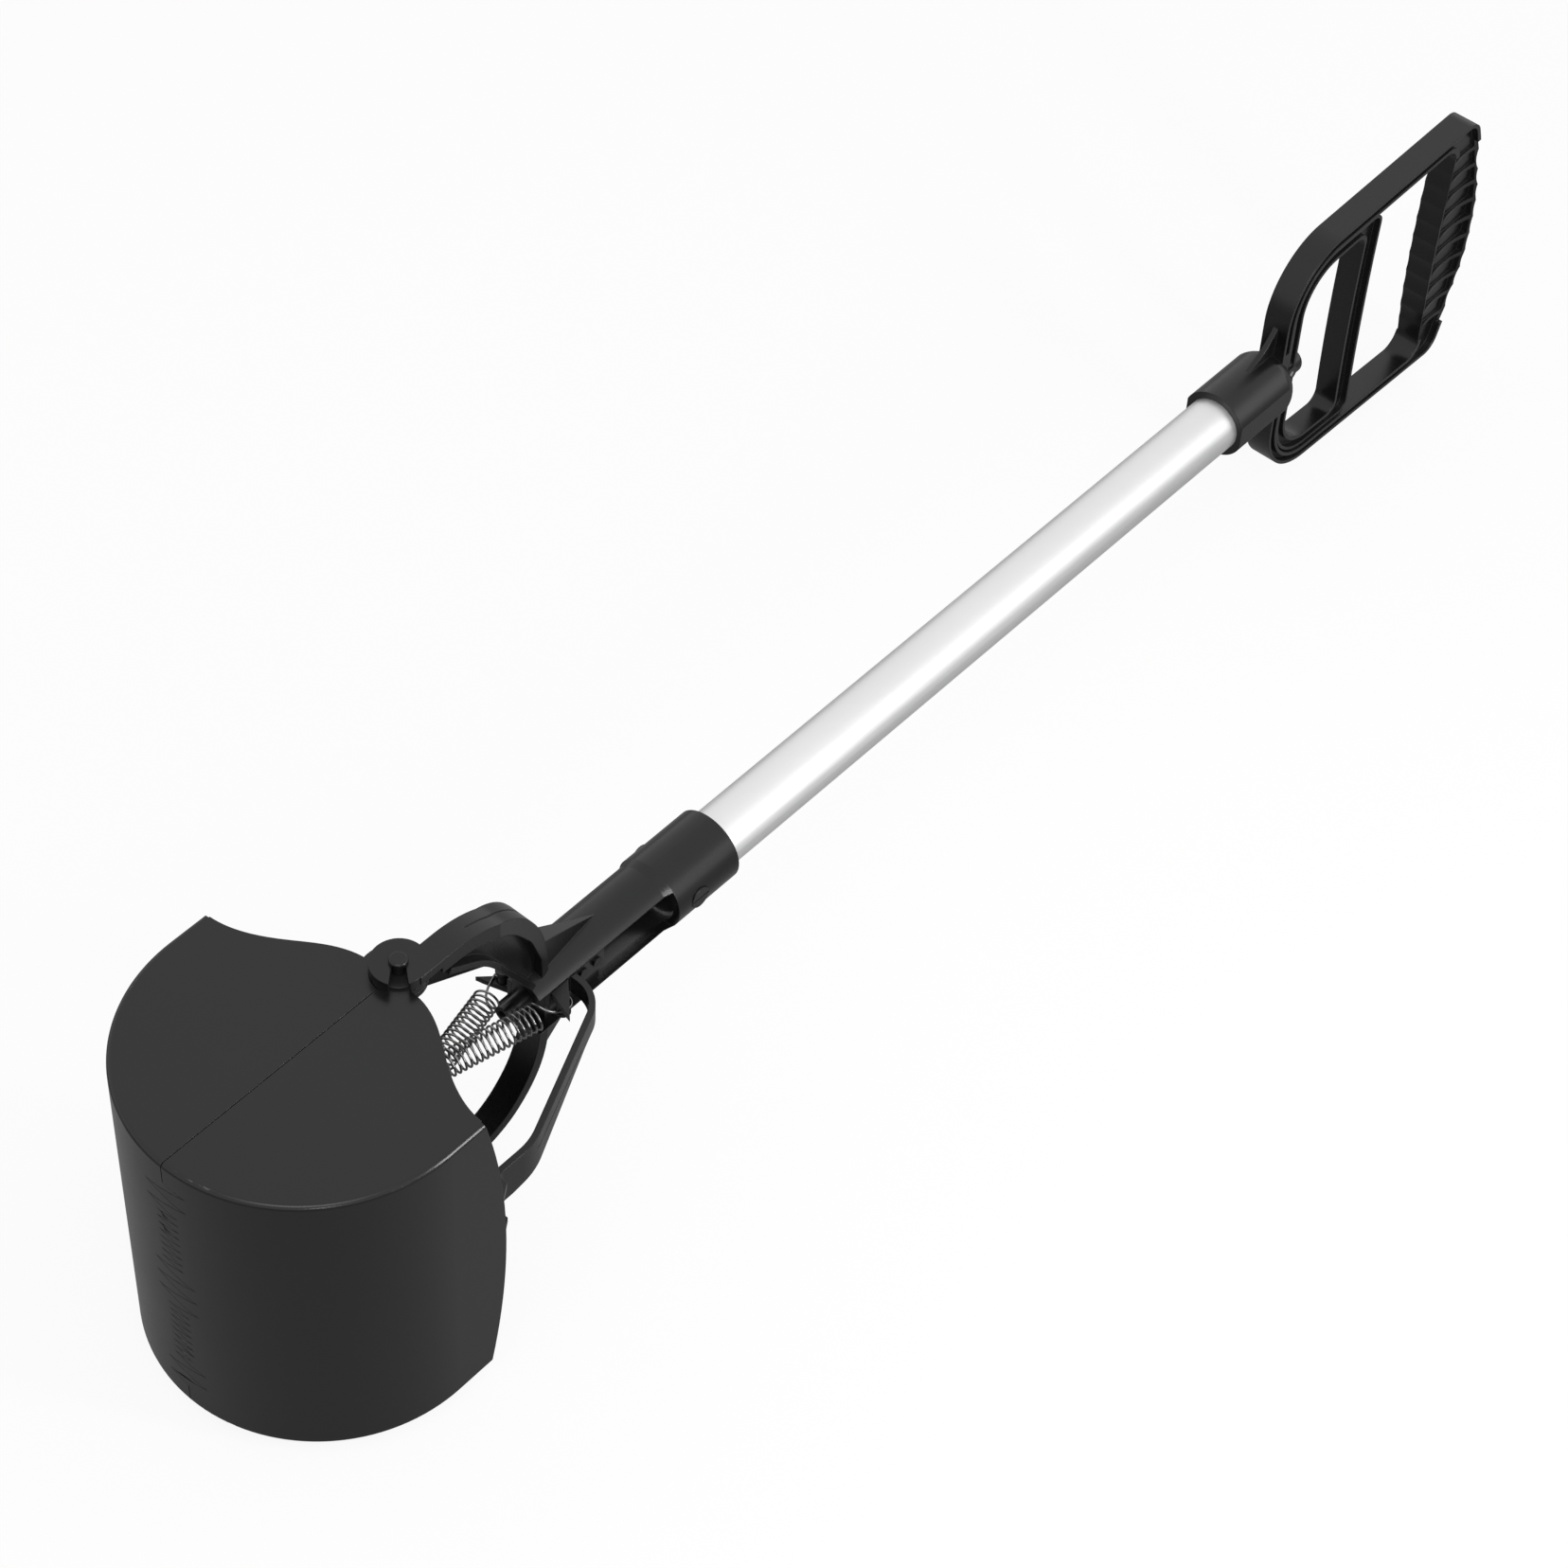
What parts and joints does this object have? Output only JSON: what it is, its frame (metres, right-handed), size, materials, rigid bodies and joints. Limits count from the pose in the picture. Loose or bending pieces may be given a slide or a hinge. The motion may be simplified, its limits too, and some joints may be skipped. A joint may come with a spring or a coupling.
{
  "type": "pooper scooper",
  "caption": "Long-handled jaw scooper for pet waste: D handle with trigger, aluminium shaft, forked yoke and a hinged toothed bucket closed by springs.",
  "frame": {"origin": "middle of the overall length and width, at the lowest point of the lying scooper (the hinge rod's lower end)", "axes": "+X along the shaft from the jaws to the handle, +Z along the hinge rod (up as it lies), +Y towards the left jaw"},
  "size_m": [0.8023, 0.14, 0.162],
  "materials": {
    "black_plastic": "semi-gloss moulded",
    "charcoal_plastic": "fine matte moulded",
    "aluminium_tube": "satin anodised",
    "nylon": "semi-gloss moulded",
    "zinc_steel": "zinc plated",
    "spring_steel": "bright drawn wire"
  },
  "bodies": {
    "frame": {"tube": "aluminium_tube", "yoke": "black_plastic", "yoke_screws": "nylon", "handle": "black_plastic", "handle_screw": "zinc_steel", "lower_guide": "nylon", "upper_guide": "nylon", "hinge_rod": "zinc_steel", "hinge_washers": "nylon", "hinge_clips": "zinc_steel", "left_spring": "spring_steel", "right_spring": "spring_steel"},
    "puller": {"trigger": "black_plastic", "trigger_pin": "zinc_steel", "pull_rod": "zinc_steel", "slider": "black_plastic", "slider_pin": "zinc_steel", "left_link": "black_plastic", "right_link": "black_plastic", "link_screws": "zinc_steel", "left_link_pin": "zinc_steel", "right_link_pin": "zinc_steel"},
    "left_jaw": {"left_jaw": "charcoal_plastic"},
    "right_jaw": {"right_jaw": "charcoal_plastic"}
  },
  "joints": [
    {"name": "trigger_pull", "type": "slide", "parent": "frame", "child": "puller", "axis": [1, 0, 0], "range_m": [0, 0.032], "stiffness_N_per_m": 300, "springref_m": -0.02, "deforming": ["left_spring", "right_spring"]},
    {"name": "right_jaw_swing", "type": "hinge", "parent": "frame", "child": "right_jaw", "pos_m": [-0.28575, 0, 0.081], "axis": [0, 0, 1], "range_deg": [0, 31]},
    {"name": "left_jaw_swing", "type": "hinge", "parent": "frame", "child": "left_jaw", "pos_m": [-0.28575, 0, 0.081], "axis": [0, 0, 1], "range_deg": [-31, 0]}
  ],
  "couplings": [
    {"joint": "right_jaw_swing", "follows": "trigger_pull", "rad_per_m": 16.906},
    {"joint": "left_jaw_swing", "follows": "trigger_pull", "rad_per_m": -16.906}
  ]
}
